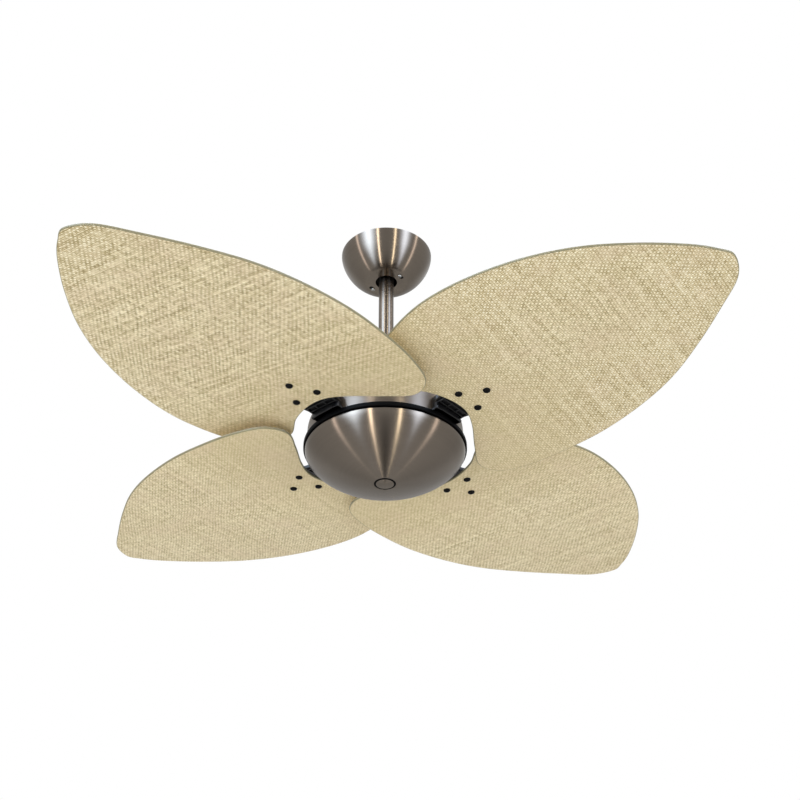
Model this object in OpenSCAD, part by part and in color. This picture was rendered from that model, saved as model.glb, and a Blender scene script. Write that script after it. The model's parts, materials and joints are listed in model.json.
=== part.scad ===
// Ceiling fan with one motor, a short downrod and four broad leaf-shaped blades.
// Millimetres, +Z up. The origin is the centre of the bracket's face on the ceiling.

/* [Drop from the ceiling] */
// Height from the ceiling down to the centre of the blade plane
blade_drop = 397; // [380:1:700]
// Outside diameter of the downrod
rod_d = 25.4; // [20:0.2:26]
// Wall of the downrod
rod_wall = 2; // [1.5:0.1:3]

/* [Canopy] */
// Diameter of the canopy's rim on the ceiling
canopy_d = 156; // [140:1:190]
// Depth of the canopy
canopy_depth = 58; // [57:1:84]
// Diameter of the canopy's flat bottom
canopy_flat_d = 72; // [68:1:80]
// Diameter of the hole that the downrod swings in
canopy_hole_d = 37; // [35:0.5:42]
// Sheet metal of the canopy
canopy_wall = 1.2; // [0.8:0.1:2]
// Distance of each canopy screw from the centre
canopy_screw_r = 29.5; // [29:0.1:30.5]

/* [Ceiling bracket] */
// Angle of the bracket's ears and bolt about the vertical
bracket_turn = -39; // [-90:1:90]
// Gap between the round plate on the ceiling and the canopy's wall
plate_gap = 4; // [2:0.5:10]
// Diameter of the wire hole in the middle of the plate
wire_hole_d = 24; // [16:1:28]
// Width of the bracket's ears
strip_w = 32; // [28:1:36]
// Thickness of the bracket's plate and ears
strip_t = 2.5; // [2:0.1:3]
// Distance between the two ceiling screw holes
ceiling_hole_pitch = 90; // [80:1:94]
// Diameter of each ceiling screw hole
ceiling_hole_d = 6.5; // [5:0.1:8]
// Clear gap between the bracket's ears
ear_gap = 38; // [36:0.5:42]
// Depth of the hanger bolt below the ceiling
hanger_bolt_z = 42; // [41:0.5:44]
// Diameter of the hanger bolt
hanger_bolt_d = 8; // [6:0.5:8]

/* [Motor] */
// Outside diameter of the motor's end caps
motor_d = 188; // [180:1:200]
// Diameter of the motor shaft
shaft_d = 15; // [13:0.5:17]
// Outside diameter of each bearing
bearing_d = 35; // [33:0.5:40]
// Width of each bearing
bearing_w = 11; // [10:0.5:12]
// Height of the stator's and the rotor's core
stator_h = 20; // [16:1:26]
// Thickness of the rotor's core, from the air gap to the motor's wall
rotor_core_t = 21.3; // [18:0.1:24]
// Number of teeth and coils on the stator
coils = 16; // [12:2:16]

/* [Housing] */
// Depth of the bowl
bowl_depth = 60; // [54:1:80]
// Sheet metal of the bowl and the upper cover
sheet_t = 1.5; // [1:0.1:2]
// Diameter of the plain cap in the middle of the bowl
bowl_cap_d = 34; // [33:0.5:40]
// Height of the upper cover
cover_h = 66; // [62:0.5:80]
// Height of the black ring between the cover and the bowl
ring_h = 8; // [7:0.5:9]
// How far the black ring stands out from the bowl
ring_lip = 2.5; // [1:0.1:4]

/* [Blades] */
// Length of a blade from the middle of its root to its tip
blade_l = 492; // [400:1:610]
// Thickness of a blade
blade_t = 4; // [3:0.5:8]
// Tilt of each blade about its own length
blade_pitch = 3; // [3:0.5:6]
// Rise of each blade towards its tip
blade_rise = 3.4; // [2:0.1:4]
// Height of the blade plane above the lower edge of the black ring
blade_raise = 8; // [4:1:12]
// Gap between the black ring and the middle of a blade's root
root_gap = 22.5; // [18:0.5:30]
// Distance of the two near blade screws from the blade's root
near_screw_inset = 22; // [18:1:28]
// Distance between the two near blade screws
near_screw_pitch = 45; // [42:1:50]
// Distance of the far blade screw from the blade's root
far_screw_inset = 59; // [54:1:70]
// Diameter of a blade screw's head
blade_head_d = 11.6; // [9:0.2:13]

/* [Hidden] */
$fn = 64;

// Clearances
fit = 0.05;          // shaft in a bore
gap = 0.3;           // curved face beside a curved face
running_gap = 2;     // turning ring above the still bowl

// Canopy and bracket
canopy_r = canopy_d / 2;
canopy_flat_r = canopy_flat_d / 2;
canopy_straight = 3;
canopy_fullness = 1.6;
ear_in = ear_gap / 2;
ear_out = ear_in + strip_t;
foot_top = canopy_depth - canopy_wall - gap - strip_t;
foot_end = canopy_screw_r + 4.5;
foot_w = 20;
canopy_screw_d = 4;
canopy_screw_head_d = 6.4;
keyhole_turn = 10.5;   // from the neck's place to the head's opening
plate_r = canopy_r - canopy_wall - plate_gap;
hanger_r = hanger_bolt_d / 2;
nut_h = 0.8 * hanger_bolt_d;
nut_d = 1.85 * hanger_bolt_d;
washer_t = 1.6;
hanger_bolt_end = ear_out + washer_t + nut_h + 7;
pin_inset = 3;
terminal_size = [11, 24, 16];
terminal_top = 8;
terminal_pitch = 8;
capacitor_size = [44, 15, 26];
capacitor_top = 6;
clip_t = 2;
clip_h = 10;
clip_l = 12;
clip_screw_d = 3;

// Motor, with heights above the lower edge of the black ring
hub_drop = blade_drop + blade_raise;
motor_r = motor_d / 2;
motor_wall = 4;
shaft_r = shaft_d / 2;
bearing_r = bearing_d / 2;
ball_r = 0.3 * (bearing_r - shaft_r);
ball_pitch_r = (bearing_r + shaft_r) / 2;
ball_count = 8;
groove_r = ball_r + fit;
race_t = (bearing_r - shaft_r) / 2 - 0.6 * ball_r;
cage_t = 0.9;
cage_rail = 1.2;
air_gap = 0.5;
rotor_core_r = motor_r - motor_wall - 0.2;
stator_r = rotor_core_r - rotor_core_t - air_gap;
stator_z = 20;
stator_top = stator_z + stator_h;
stator_hub_r = 28;
tooth_w = 5;
tooth_tip_t = 5;
coil_t = 2.3;
upper_bearing_z = stator_top + 4;
lower_bearing_z = -3;
end_ring_h = 4;
lower_ring_h = 1.5;
cap_floor = 4;
cap_plate = 4;
cap_split = 18;
cap_top = upper_bearing_z + 10;
flange_r = motor_r + 20;
bearing_boss_r = bearing_r + 5;
boss_rise = 5;
vent_d = 14;
vent_r = bearing_boss_r + vent_d / 2 + 20;
lug_r = motor_r + 4;
lug_d = 11;
lug_h = 16;
cap_screw_d = 4;
circlip_t = 1;
circlip_depth = 0.5;
circlip_heights = [upper_bearing_z + bearing_w, lower_bearing_z - circlip_t - 2 * fit];

// Housing
ring_r = flange_r + 16.5;
ring_band = 3;
ring_edge = 0.8;
bowl_r = ring_r - ring_lip;
bowl_rim = -running_gap;
bowl_fullness = 1.6;
bowl_floor = bowl_rim - bowl_depth + 11;
bowl_cap_r = bowl_cap_d / 2;
bowl_nut_h = 4.5;
stud_r = 5;
cover_r = ring_r - 5.5;
cover_top = ring_h + cover_h;
cover_flat_r = motor_r - 22;
cover_straight = 24;
cover_boss_r = cover_flat_r - 12;
cover_boss_d = 10;
cover_screw_d = 4;
cover_screw_l = 12;

// Downrod and its collar
rod_r = rod_d / 2;
rod_top = hanger_bolt_z - 14;
bush_d = hanger_bolt_d + 6;
collar_floor = cap_top + 12;
collar_seat = cover_top + 4;
collar_bolt_z = collar_seat + 20;
collar_top = collar_bolt_z + 16;
collar_r = rod_r + 6;
collar_bolt_d = 6;
collar_bolt_end = collar_r + 0.8 * collar_bolt_d + 6;
collar_head_h = 4;
cover_hole_r = collar_r + 6;
shaft_wire_r = shaft_r - 3;

// Blades and their arms
blades = 4;
blade_first = 226.5;
root_r = ring_r + root_gap;
near_screw_r = root_r + near_screw_inset;
far_screw_r = root_r + far_screw_inset;
arm_half_w = 28;
arm_t = 4;
arm_block_in = cover_r + 1;
arm_block_out = cover_r + 13;
arm_block_top = blade_raise + 24;
arm_plate_t = 5;
arm_rib_t = 3;
arm_boss_d = 15;
arm_boss_h = 9;
arm_screw_r = motor_r + 12;
arm_screw_pitch = 34;
arm_screw_d = 5;
blade_screw_d = 5;
blade_holes = [[near_screw_r, near_screw_pitch / 2], [near_screw_r, -near_screw_pitch / 2],
               [far_screw_r, 0]];
// Blade outline, measured from the middle of its root: the tip, the low edge, the root, the high edge
blade_points = [[492, 15], [472, 53], [422, 89], [354, 132], [283, 169], [209, 192], [127, 204],
                [50, 202], [-11, 193], [-58, 174], [-73, 137], [-47, 95], [-15, 52], [2, 17],
                [2, -19], [-11, -58], [-36, -96], [-28, -140], [1, -175], [44, -196],
                [115, -210], [194, -204], [275, -181], [347, -144], [409, -95], [459, -44], [483, -10]];
root_zone = 87;
blade_stretch = (blade_l - root_zone) / (blade_points[0][0] - root_zone);

// Colours
bronze = [0.42, 0.38, 0.34];
black = [0.07, 0.07, 0.07];
zinc = [0.72, 0.72, 0.7];
steel = [0.55, 0.55, 0.55];
cast = [0.66, 0.66, 0.66];
copper = [0.72, 0.42, 0.2];
weave = [0.82, 0.76, 0.58];

// ---- functions ----

function unit(v) = v / norm(v);

// Arc of radius r that rounds the corner b between a and c
function corner(a, b, c, r, n) =
    let (p = unit(a - b), q = unit(c - b), half = acos(p * q) / 2,
         centre = b + unit(p + q) * r / sin(half),
         from = b + p * r / tan(half) - centre, to = b + q * r / tan(half) - centre,
         turn = 180 - 2 * half)
    [for (i = [0:n]) centre + (sin(turn * (1 - i / n)) * from + sin(turn * i / n) * to) / sin(turn)];

function rounded(points, r, n = 6) =
    let (k = len(points))
    [for (i = [0:k - 1]) each corner(points[(i + k - 1) % k], points[i], points[(i + 1) % k], r, n)];

// Smooth closed curve through the points
function smooth(points, steps) =
    let (k = len(points))
    [for (i = [0:k - 1], s = [0:steps - 1])
        let (a = points[(i + k - 1) % k], b = points[i], c = points[(i + 1) % k],
             d = points[(i + 2) % k], t = s / steps)
        0.5 * (2 * b + (c - a) * t + (2 * a - 5 * b + 4 * c - d) * t * t
               + (3 * b - a - 3 * c + d) * t * t * t)];

// Quarter of a superellipse from [inner_r + a, z] towards [inner_r, z + b]
function quarter(inner_r, a, z, b, power, last = 90, steps = 20) =
    [for (i = [0:steps])
        let (angle = last * i / steps)
        [inner_r + a * pow(cos(angle), 2 / power), z + b * pow(sin(angle), 2 / power)]];

function reversed(list) = [for (i = [len(list) - 1:-1:0]) list[i]];

// Point of the outline in the blade's frame, with its outer part stretched to the blade's length
function placed(p) =
    let (along = p[0] > root_zone ? root_zone + (p[0] - root_zone) * blade_stretch : p[0])
    [root_r + along, p[1]];

// ---- helpers ----

module ring(outer, inner, z, h) {
    translate([0, 0, z]) difference() {
        cylinder(r = outer, h = h);
        translate([0, 0, -1]) cylinder(r = inner, h = h + 2);
    }
}

module at_hub() { translate([0, 0, -hub_drop]) children(); }

module at_bracket() { rotate([0, 0, bracket_turn]) children(); }

module around(count, radius, start = 0) {
    for (i = [0:count - 1]) rotate([0, 0, start + i * 360 / count]) translate([radius, 0, 0]) children();
}

module at_blade(i) { at_hub() rotate([0, 0, blade_first + i * 360 / blades]) children(); }

// Frame of one blade: X along it, Z = 0 in the middle of its thickness
module at_blade_plane(i) {
    at_blade(i) translate([0, 0, blade_raise])
        rotate([0, -blade_rise, 0]) rotate([-blade_pitch, 0, 0]) children();
}

// Screw along -Z with its head's underside at Z = 0
module pan_screw(d, length, head_d, head_h) {
    slot = 0.16 * head_d;
    difference() {
        union() {
            cylinder(d = head_d, h = 0.55 * head_h);
            translate([0, 0, 0.55 * head_h]) cylinder(d1 = head_d, d2 = 0.62 * head_d, h = 0.45 * head_h);
            translate([0, 0, -length]) cylinder(d = d, h = length);
        }
        for (turn = [0, 90]) rotate([0, 0, turn])
            translate([-0.25 * head_d, -slot / 2, 0.4 * head_h]) cube([0.5 * head_d, slot, head_h]);
    }
}

module hex_nut(d, across, h) {
    difference() {
        cylinder(d = across, h = h, $fn = 6);
        translate([0, 0, -1]) cylinder(d = d + 2 * fit, h = h + 2);
    }
}

// Split pin along X through the origin, with its round eye on the +X side
module split_pin(d, length) {
    rotate([0, 90, 0]) {
        translate([0, 0, -length / 2]) cylinder(d = d, h = length);
        translate([0, 0, length / 2 + d]) rotate([90, 0, 0]) rotate_extrude()
            translate([1.1 * d, 0]) circle(d = d);
    }
}

// ---- ceiling bracket and what it carries ----

module ceiling_bracket() {
    color(black) at_bracket() difference() {
        union() {
            translate([0, 0, -strip_t]) cylinder(r = plate_r, h = strip_t);
            for (side = [0, 180]) rotate([0, 0, side]) {
                translate([ear_in, -strip_w / 2, -foot_top - strip_t])
                    cube([strip_t, strip_w, foot_top + strip_t]);
                translate([ear_in, -foot_w / 2, -foot_top - strip_t])
                    cube([foot_end - ear_in, foot_w, strip_t]);
            }
        }
        for (side = [-1, 1]) {
            translate([side * ceiling_hole_pitch / 2, 0, -strip_t - 1])
                cylinder(d = ceiling_hole_d, h = strip_t + 2);
            translate([side * canopy_screw_r, 0, -foot_top - strip_t - 1])
                cylinder(d = canopy_screw_d + 2 * fit, h = strip_t + 2);
        }
        translate([-ear_out - 1, 0, -hanger_bolt_z]) rotate([0, 90, 0])
            cylinder(r = hanger_r + fit, h = 2 * ear_out + 2);
        translate([0, 0, -strip_t - 1]) cylinder(d = wire_hole_d, h = strip_t + 2);
    }
}

module hanger_bolt() {
    color(zinc) at_bracket() translate([0, 0, -hanger_bolt_z]) difference() {
        union() {
            translate([-ear_out, 0, 0]) rotate([0, 90, 0])
                cylinder(r = hanger_r, h = ear_out + hanger_bolt_end);
            translate([-ear_out - 0.7 * hanger_bolt_d, 0, 0]) rotate([0, 90, 0])
                cylinder(d = nut_d, h = 0.7 * hanger_bolt_d, $fn = 6);
        }
        translate([hanger_bolt_end - pin_inset, 0, -hanger_r - 1]) cylinder(d = 2.2, h = hanger_bolt_d + 2);
    }
}

module hanger_nut() {
    color(zinc) at_bracket() translate([ear_out, 0, -hanger_bolt_z]) rotate([0, 90, 0]) {
        difference() {
            cylinder(d = 2 * hanger_bolt_d, h = washer_t);
            translate([0, 0, -1]) cylinder(r = hanger_r + fit, h = washer_t + 2);
        }
        translate([0, 0, washer_t]) hex_nut(hanger_bolt_d, nut_d, nut_h);
    }
}

module hanger_split_pin() {
    color(steel) at_bracket() translate([hanger_bolt_end - pin_inset, 0, -hanger_bolt_z])
        rotate([0, -90, 0]) split_pin(2, hanger_bolt_d + 7);
}

module terminal_block() {
    color([0.9, 0.88, 0.82]) at_bracket()
        translate([ear_out, -terminal_size[1] / 2, -terminal_top - terminal_size[2]]) difference() {
            cube(terminal_size);
            for (i = [0:2]) translate([terminal_size[0] / 2 + 2, terminal_pitch * (i + 0.5), -1])
                cylinder(d = terminal_pitch / 2, h = terminal_pitch);
            for (i = [1, 2]) translate([terminal_size[0] - 4, terminal_pitch * i - 0.5, -1])
                cube([5, 1, terminal_size[2] + 2]);
            translate([-1, terminal_size[1] / 2, terminal_size[2] - 4]) rotate([0, 90, 0])
                cylinder(d = clip_screw_d + 0.2, h = terminal_size[0] + 2);
        }
}

module capacitor() {
    color(black) at_bracket() {
        translate([-capacitor_size[0] / 2, strip_w / 2 + gap, -capacitor_top - capacitor_size[2]])
            cube(capacitor_size);
        translate([-ear_out - clip_t, strip_w / 2 - clip_l, -capacitor_top - clip_h]) difference() {
            cube([clip_t, clip_l + gap + 4, clip_h]);
            translate([-1, clip_h / 2, clip_h / 2]) rotate([0, 90, 0])
                cylinder(d = clip_screw_d + 0.2, h = clip_t + 2);
        }
    }
}

module bracket_clip_screws() {
    color(steel) at_bracket() {
        translate([ear_out + terminal_size[0], 0, -terminal_top - 4]) rotate([0, 90, 0])
            pan_screw(clip_screw_d, terminal_size[0], 6, 2);
        translate([-ear_out - clip_t, strip_w / 2 - clip_l + clip_h / 2, -capacitor_top - clip_h / 2])
            rotate([0, -90, 0]) pan_screw(clip_screw_d, clip_t, 6, 2);
    }
}

// ---- canopy ----

module canopy_profile(grow) {
    outer = quarter(canopy_flat_r, canopy_r - canopy_flat_r, -canopy_straight,
                    canopy_straight - canopy_depth, canopy_fullness);
    inner = quarter(canopy_flat_r, canopy_r - canopy_flat_r - canopy_wall, -canopy_straight,
                    canopy_straight - canopy_depth + canopy_wall, canopy_fullness);
    polygon(concat([[canopy_r, -grow]], outer,
                   [[canopy_hole_d / 2, -canopy_depth], [canopy_hole_d / 2, -canopy_depth + canopy_wall]],
                   reversed(inner), [[canopy_r - canopy_wall, -grow]]));
}

// Slot for the screw's neck with a round opening for its head
module keyhole() {
    slot_w = canopy_screw_d + 0.6;
    circle(d = slot_w);
    rotate(keyhole_turn / 2) translate([-slot_w / 2, 0])
        square([slot_w, 2 * canopy_screw_r * sin(keyhole_turn / 2)]);
    translate([-canopy_screw_r, 0]) rotate(keyhole_turn) translate([canopy_screw_r, 0])
        circle(d = canopy_screw_head_d + 0.8);
}

module canopy() {
    color(bronze) difference() {
        rotate_extrude() canopy_profile(gap);
        at_bracket() around(2, canopy_screw_r)
            translate([0, 0, -canopy_depth - 1]) linear_extrude(canopy_wall + 2) keyhole();
    }
}

module canopy_screws() {
    color(steel) at_bracket() around(2, canopy_screw_r)
        translate([0, 0, -canopy_depth]) rotate([180, 0, 0])
            pan_screw(canopy_screw_d, canopy_depth - foot_top + 3, canopy_screw_head_d, 2.4);
}

// ---- downrod and hanger ----

module downrod() {
    rod_l = hub_drop - collar_seat - rod_top;
    color(bronze) difference() {
        translate([0, 0, -rod_top - rod_l]) difference() {
            cylinder(r = rod_r, h = rod_l);
            translate([0, 0, -1]) cylinder(r = rod_r - rod_wall, h = rod_l + 2);
        }
        at_bracket() translate([-rod_d, 0, -hanger_bolt_z]) rotate([0, 90, 0])
            cylinder(d = bush_d + 2 * fit, h = 2 * rod_d);
        translate([-rod_d, 0, collar_bolt_z - hub_drop]) rotate([0, 90, 0])
            cylinder(d = collar_bolt_d + 0.4, h = 2 * rod_d);
    }
}

module hanger_bush() {
    color(black) at_bracket() translate([0, 0, -hanger_bolt_z]) rotate([0, 90, 0])
        ring(bush_d / 2, hanger_r + fit, gap - ear_in, 2 * (ear_in - gap));
}

module motor_collar() {
    color(black) at_hub() difference() {
        union() {
            translate([0, 0, collar_floor]) cylinder(r = collar_r, h = collar_top - collar_floor - 3);
            translate([0, 0, collar_top - 3]) cylinder(r1 = collar_r, r2 = collar_r - 2, h = 3);
        }
        translate([0, 0, collar_floor - 1]) cylinder(r = shaft_r + fit, h = collar_seat);
        translate([0, 0, collar_seat]) cylinder(r = rod_r + fit, h = collar_top);
        translate([-2 * collar_r, 0, collar_bolt_z]) rotate([0, 90, 0])
            cylinder(d = collar_bolt_d + 0.4, h = 4 * collar_r);
    }
}

module collar_bolt() {
    head_x = -collar_r - collar_head_h;
    color(zinc) at_hub() translate([0, 0, collar_bolt_z]) difference() {
        union() {
            translate([head_x, 0, 0]) rotate([0, 90, 0])
                cylinder(d = collar_bolt_d, h = collar_bolt_end - head_x);
            translate([head_x, 0, 0]) rotate([0, 90, 0])
                cylinder(d = 1.85 * collar_bolt_d, h = collar_head_h, $fn = 6);
        }
        translate([collar_bolt_end - pin_inset, 0, -collar_bolt_d]) cylinder(d = 1.8, h = 2 * collar_bolt_d);
    }
}

module collar_nut() {
    color(zinc) at_hub() translate([collar_r, 0, collar_bolt_z]) rotate([0, 90, 0])
        hex_nut(collar_bolt_d, 1.85 * collar_bolt_d, 0.8 * collar_bolt_d);
}

module collar_split_pin() {
    color(steel) at_hub() translate([collar_bolt_end - pin_inset, 0, collar_bolt_z])
        rotate([0, -90, 0]) split_pin(1.6, collar_bolt_d + 6);
}

// ---- motor: still parts ----

module circlip_grooves(z_list) {
    for (z = z_list) ring(shaft_r + 1, shaft_r - circlip_depth, z, circlip_t + 2 * fit);
}

module motor_shaft() {
    stud_end = bowl_floor - washer_t - bowl_nut_h - 1.4;
    color(steel) at_hub() difference() {
        union() {
            translate([0, 0, bowl_floor + sheet_t])
                cylinder(r = shaft_r, h = collar_seat - bowl_floor - sheet_t);
            translate([0, 0, stud_end]) cylinder(r = stud_r, h = bowl_floor + sheet_t - stud_end);
        }
        translate([0, 0, stator_top + 2]) cylinder(r = shaft_wire_r, h = collar_seat);
        circlip_grooves(circlip_heights);
    }
}

module stator_core() {
    color(steel) at_hub() translate([0, 0, stator_z]) difference() {
        union() {
            cylinder(r = stator_hub_r, h = stator_h);
            around(coils, stator_hub_r - 2) translate([0, -tooth_w / 2, 0])
                cube([stator_r - stator_hub_r - 1, tooth_w, stator_h]);
            intersection() {
                ring(stator_r, stator_r - tooth_tip_t, 0, stator_h);
                around(coils, stator_r - 8) translate([0, -9, 0]) cube([12, 18, stator_h]);
            }
        }
        translate([0, 0, -1]) cylinder(r = shaft_r + fit, h = stator_h + 2);
    }
}

module stator_coils() {
    coil_l = stator_r - tooth_tip_t - stator_hub_r - 6;
    inner_w = tooth_w + 2 * gap;
    color(copper) at_hub() around(coils, stator_hub_r + 3)
        translate([0, 0, stator_z + stator_h / 2]) difference() {
            cube_centred([coil_l, inner_w + 2 * coil_t, stator_h + 2 * gap + 2 * coil_t]);
            translate([-1, 0, 0]) cube_centred([coil_l + 2, inner_w, stator_h + 2 * gap]);
        }
}

// Box that starts at X = 0 and is centred in Y and Z
module cube_centred(size) { translate([0, -size[1] / 2, -size[2] / 2]) cube(size); }

module at_bearings() {
    at_hub() for (z = [upper_bearing_z, lower_bearing_z]) translate([0, 0, z]) children();
}

module ball_track() {
    translate([0, 0, bearing_w / 2]) rotate_extrude()
        translate([ball_pitch_r, 0]) circle(r = groove_r, $fn = 32);
}

module bearing_inner_races() {
    color(zinc) at_bearings() difference() {
        ring(shaft_r + race_t, shaft_r + fit, 0, bearing_w);
        ball_track();
    }
}

module shaft_circlips() {
    color(steel) at_hub() for (z = circlip_heights)
        ring(shaft_r + 1.5, shaft_r - circlip_depth + fit, z + fit, circlip_t);
}

// ---- bowl ----

module bowl() {
    depth = bowl_depth;
    seat_r = bowl_cap_r + gap;
    last = acos(pow(seat_r / bowl_r, bowl_fullness / 2));
    outer = quarter(0, bowl_r, bowl_rim, -depth, bowl_fullness, last, 28);
    inner = quarter(0, bowl_r - sheet_t, bowl_rim, -depth + sheet_t, bowl_fullness,
                    acos(pow((seat_r + sheet_t) / (bowl_r - sheet_t), bowl_fullness / 2)), 28);
    color(bronze) at_hub() rotate_extrude() polygon(concat(
        outer, [[seat_r, bowl_floor], [stud_r + fit, bowl_floor],
                [stud_r + fit, bowl_floor + sheet_t], [seat_r + sheet_t, bowl_floor + sheet_t]],
        reversed(inner)));
}

module bowl_washer() {
    color(zinc) at_hub() ring(11, stud_r + fit, bowl_floor - washer_t, washer_t);
}

module bowl_nut() {
    color(zinc) at_hub() translate([0, 0, bowl_floor - washer_t - bowl_nut_h])
        hex_nut(2 * stud_r, 17, bowl_nut_h);
}

module bowl_cap() {
    edge_z = bowl_rim - bowl_depth * pow(1 - pow(bowl_cap_r / bowl_r, bowl_fullness), 1 / bowl_fullness);
    pole_z = bowl_rim - bowl_depth;
    disc_z = edge_z + 1.2;
    lip_z = bowl_floor - gap;
    color(bronze) at_hub() rotate_extrude() polygon([
        [0, pole_z], [bowl_cap_r - 3, pole_z], [bowl_cap_r, edge_z], [bowl_cap_r, disc_z],
        [bowl_cap_r - 0.5, disc_z], [bowl_cap_r - 0.5, lip_z], [bowl_cap_r - 2.5, lip_z],
        [bowl_cap_r - 2.5, disc_z], [0, disc_z]]);
}

// ---- bearings: rolling parts ----

module bearing_balls() {
    color(zinc) at_bearings() around(ball_count, ball_pitch_r)
        translate([0, 0, bearing_w / 2]) sphere(r = ball_r, $fn = 32);
}

module bearing_cages() {
    color([0.8, 0.7, 0.4]) at_bearings() difference() {
        ring(ball_pitch_r + cage_t / 2, ball_pitch_r - cage_t / 2,
             bearing_w / 2 - ball_r - cage_rail, 2 * (ball_r + cage_rail));
        around(ball_count, ball_pitch_r - 2) translate([0, 0, bearing_w / 2]) rotate([0, 90, 0])
            cylinder(r = ball_r + 0.1, h = 4);
    }
}

// ---- motor: turning parts ----

module bearing_outer_races() {
    color(zinc) at_bearings() difference() {
        ring(bearing_r, bearing_r - race_t, 0, bearing_w);
        ball_track();
    }
}

module rotor_core() {
    color(steel) at_hub() ring(rotor_core_r, stator_r + air_gap, stator_z, stator_h);
}

module rotor_end_rings() {
    color(cast) at_hub() {
        ring(rotor_core_r, stator_r + 5, stator_z - lower_ring_h, lower_ring_h);
        ring(rotor_core_r, stator_r + 5, stator_top, end_ring_h);
    }
}

module lugs(z, h) { around(4, lug_r) translate([0, 0, z]) cylinder(d = lug_d, h = h); }

module motor_upper_cap() {
    color(cast) at_hub() difference() {
        union() {
            translate([0, 0, cap_split]) cylinder(r = motor_r, h = cap_top - cap_split);
            translate([0, 0, cap_top - 1]) cylinder(r = bearing_boss_r, h = boss_rise + 1);
            lugs(cap_split, lug_h);
            around(4, cover_boss_r, 45) translate([0, 0, cap_top - 1])
                cylinder(d = cover_boss_d, h = cover_top - sheet_t - cap_top + 1);
        }
        difference() {
            translate([0, 0, cap_split - 1])
                cylinder(r = motor_r - motor_wall, h = cap_top - cap_split - cap_plate + 1);
            translate([0, 0, upper_bearing_z - 0.2]) cylinder(r = bearing_boss_r, h = cap_top);
        }
        translate([0, 0, upper_bearing_z - 1]) cylinder(r = bearing_r + fit, h = bearing_w + 1 + fit);
        translate([0, 0, cap_split]) cylinder(r = shaft_r + 3, h = cap_top);
        around(4, lug_r) translate([0, 0, cap_split - 1]) cylinder(d = cap_screw_d + 0.4, h = lug_h + 2);
        around(4, cover_boss_r, 45) translate([0, 0, cover_top - cover_screw_l - 2])
            cylinder(d = cover_screw_d + 2 * fit, h = cover_screw_l + 2);
        around(8, vent_r, 22.5) translate([0, 0, cap_top - cap_plate - 1])
            cylinder(d = vent_d, h = cap_plate + 2);
    }
}

module motor_lower_cap() {
    color(cast) at_hub() difference() {
        union() {
            translate([0, 0, cap_floor]) cylinder(r = motor_r, h = cap_split - cap_floor);
            translate([0, 0, cap_floor]) cylinder(r = flange_r, h = cap_plate);
            translate([0, 0, lower_bearing_z - 3]) cylinder(r = bearing_boss_r, h = bearing_w);
            lugs(cap_floor, cap_split - cap_floor);
        }
        difference() {
            translate([0, 0, cap_floor + cap_plate]) cylinder(r = motor_r - motor_wall, h = cap_split);
            translate([0, 0, cap_floor]) cylinder(r = bearing_boss_r, h = cap_plate + 0.2);
        }
        translate([0, 0, lower_bearing_z - fit]) cylinder(r = bearing_r + fit, h = bearing_w + 5);
        translate([0, 0, lower_bearing_z - 4]) cylinder(r = shaft_r + 3, h = bearing_w + 10);
        around(4, lug_r) translate([0, 0, cap_floor - 1])
            cylinder(d = cap_screw_d + 2 * fit, h = cap_split - cap_floor + 2);
        around(8, vent_r) translate([0, 0, cap_floor - 1]) cylinder(d = vent_d, h = cap_plate + 2);
        for (i = [0:blades - 1]) rotate([0, 0, blade_first + i * 360 / blades]) arm_screw_places()
            translate([0, 0, cap_floor - 1]) cylinder(d = arm_screw_d + 0.4, h = cap_plate + 2);
    }
}

module motor_cap_screws() {
    color(steel) at_hub() around(4, lug_r) translate([0, 0, cap_split + lug_h])
        pan_screw(cap_screw_d, lug_h + cap_split - cap_floor - 3, 8, 2.6);
}

module arm_screw_places() {
    for (side = [-1, 1]) translate([arm_screw_r, side * arm_screw_pitch / 2, 0]) children();
}

// ---- upper cover and trim ring ----

module upper_cover() {
    top = cover_top;
    bend = ring_h + cover_straight;
    outer = quarter(cover_flat_r, cover_r - cover_flat_r, bend, top - bend, 2.1);
    inner = quarter(cover_flat_r, cover_r - cover_flat_r - sheet_t, bend, top - bend - sheet_t, 2.1);
    color(bronze) at_hub() difference() {
        rotate_extrude() polygon(concat(
            [[cover_r, ring_h]], outer,
            [[cover_hole_r, top], [cover_hole_r, top - sheet_t]],
            reversed(inner), [[cover_r - sheet_t, ring_h]]));
        for (i = [0:blades - 1]) rotate([0, 0, blade_first + i * 360 / blades])
            translate([cover_r - 30, -arm_half_w - gap, ring_h - 1])
                cube([60, 2 * arm_half_w + 2 * gap, arm_t + 1 + gap]);
        around(4, cover_boss_r, 45) translate([0, 0, top - 4]) cylinder(d = cover_screw_d + 0.6, h = 8);
    }
}

module cover_screws() {
    color(steel) at_hub() around(4, cover_boss_r, 45) translate([0, 0, cover_top])
        pan_screw(cover_screw_d, cover_screw_l, 8, 2.6);
}

module trim_ring() {
    color(black) at_hub() rotate_extrude() polygon([
        [flange_r + gap, ring_h - ring_band], [ring_r - ring_band, ring_h - ring_band],
        [ring_r - ring_band, 0], [ring_r - ring_edge, 0], [ring_r, ring_edge], [ring_r, ring_h - ring_edge],
        [ring_r - ring_edge, ring_h], [flange_r + gap, ring_h]]);
}

// ---- blades, arms and their screws ----

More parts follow.
